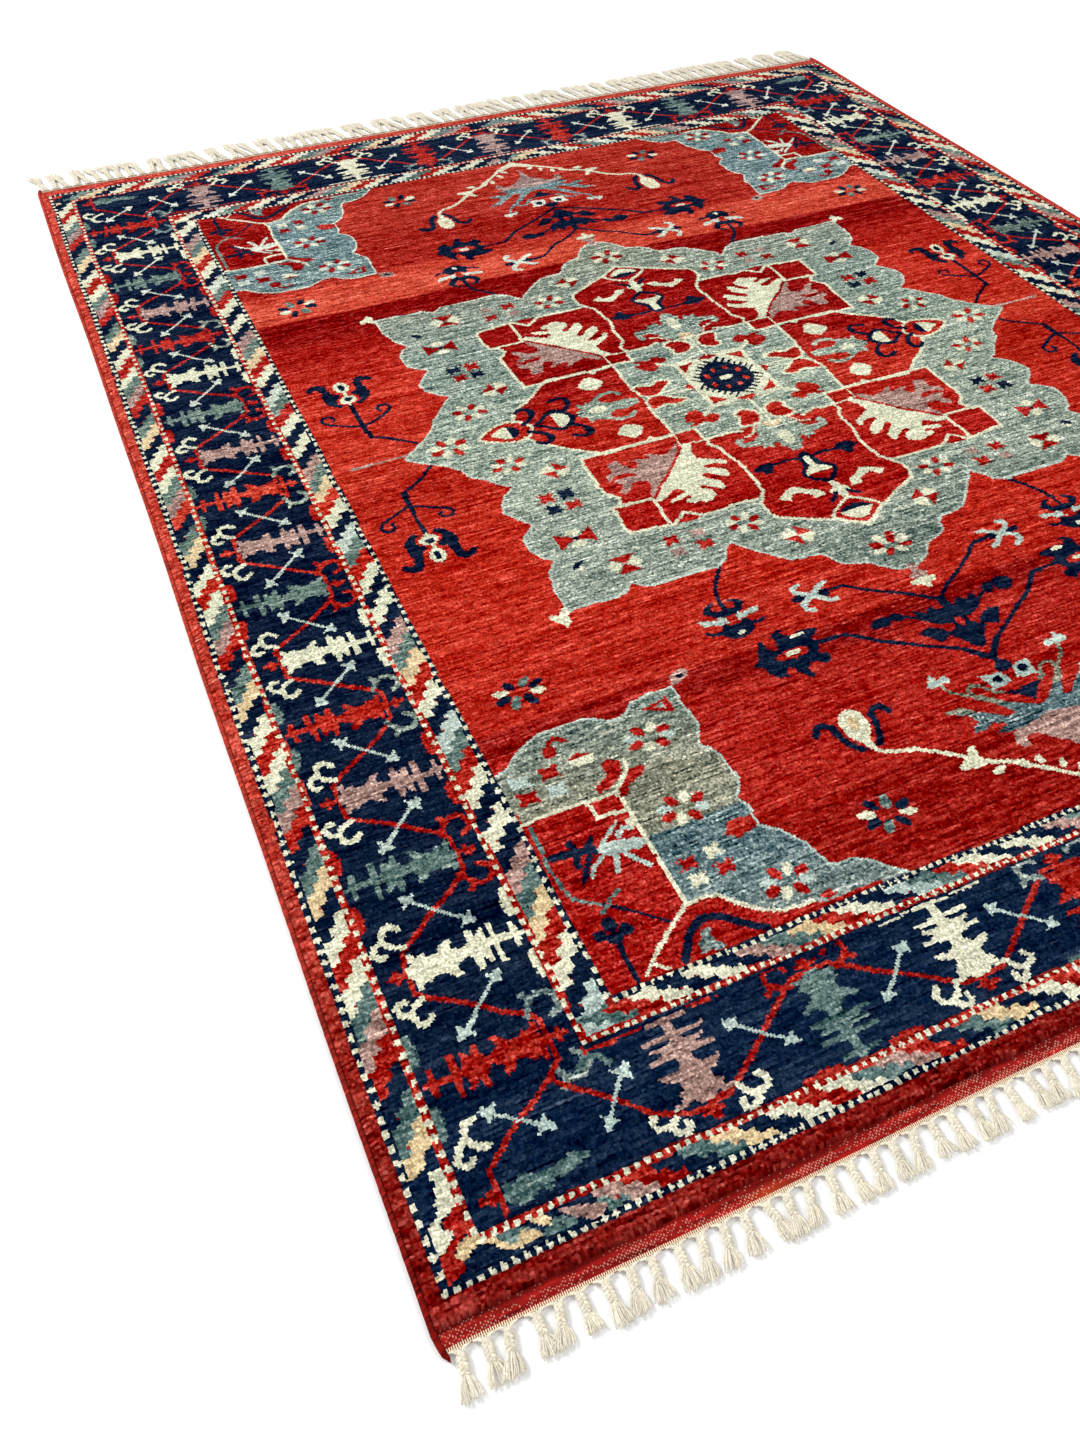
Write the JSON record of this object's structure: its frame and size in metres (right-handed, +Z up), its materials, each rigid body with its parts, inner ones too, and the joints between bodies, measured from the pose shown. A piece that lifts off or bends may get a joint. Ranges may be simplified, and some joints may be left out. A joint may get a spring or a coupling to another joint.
{
  "type": "area rug",
  "caption": "Rectangular hand-knotted wool area rug with a star medallion, banded borders, overcast sides, flat-woven ends and braided fringes.",
  "frame": {"origin": "centre of the whole rug with its fringes, on the floor plane", "axes": "+Z up out of the pile; +Y along the length to the end with the long fringe; +X across the width"},
  "size_m": [2.4134, 3.1876, 0.0123],
  "materials": {
    "ground_cotton": "plain-woven cotton warps and wefts, seen from below with the backs of the knots",
    "pile_wool_red": "cut wool pile, madder red edge",
    "pile_wool_guard": "cut wool pile, slanted leaves in ivory, red, navy, mauve and grey-blue between dotted lines",
    "pile_wool_border": "cut wool pile, navy ground with a red vine and coloured palmettes",
    "pile_wool_field": "cut wool pile, streaked red field with a grey-blue star medallion",
    "side_overcast": "warp bundle overcast with red wool",
    "flatweave_red": "weft-faced flat weave in red wool",
    "fringe_cotton": "undyed warp yarn, braided, with loose tails"
  },
  "bodies": {
    "root": {"ground_weave": "ground_cotton", "pile_edge_band": "pile_wool_red", "pile_outer_guard": "pile_wool_guard", "pile_main_border": "pile_wool_border", "pile_inner_guard": "pile_wool_guard", "pile_field": "pile_wool_field", "side_cord_left": "side_overcast", "side_cord_right": "side_overcast", "flatweave_end_near": "flatweave_red", "flatweave_end_far": "flatweave_red", "fringe_near_01": "fringe_cotton", "fringe_near_02": "fringe_cotton", "fringe_near_03": "fringe_cotton", "fringe_near_04": "fringe_cotton", "fringe_near_05": "fringe_cotton", "fringe_near_06": "fringe_cotton", "fringe_near_07": "fringe_cotton", "fringe_near_08": "fringe_cotton", "fringe_near_09": "fringe_cotton", "fringe_near_10": "fringe_cotton", "fringe_near_11": "fringe_cotton", "fringe_near_12": "fringe_cotton", "fringe_near_13": "fringe_cotton", "fringe_near_14": "fringe_cotton", "fringe_near_15": "fringe_cotton", "fringe_near_16": "fringe_cotton", "fringe_near_17": "fringe_cotton", "fringe_near_18": "fringe_cotton", "fringe_near_19": "fringe_cotton", "fringe_near_20": "fringe_cotton", "fringe_near_21": "fringe_cotton", "fringe_far_01": "fringe_cotton", "fringe_far_02": "fringe_cotton", "fringe_far_03": "fringe_cotton", "fringe_far_04": "fringe_cotton", "fringe_far_05": "fringe_cotton", "fringe_far_06": "fringe_cotton", "fringe_far_07": "fringe_cotton", "fringe_far_08": "fringe_cotton", "fringe_far_09": "fringe_cotton", "fringe_far_10": "fringe_cotton", "fringe_far_11": "fringe_cotton", "fringe_far_12": "fringe_cotton", "fringe_far_13": "fringe_cotton", "fringe_far_14": "fringe_cotton", "fringe_far_15": "fringe_cotton", "fringe_far_16": "fringe_cotton", "fringe_far_17": "fringe_cotton", "fringe_far_18": "fringe_cotton", "fringe_far_19": "fringe_cotton", "fringe_far_20": "fringe_cotton", "fringe_far_21": "fringe_cotton"}
  },
  "joints": []
}
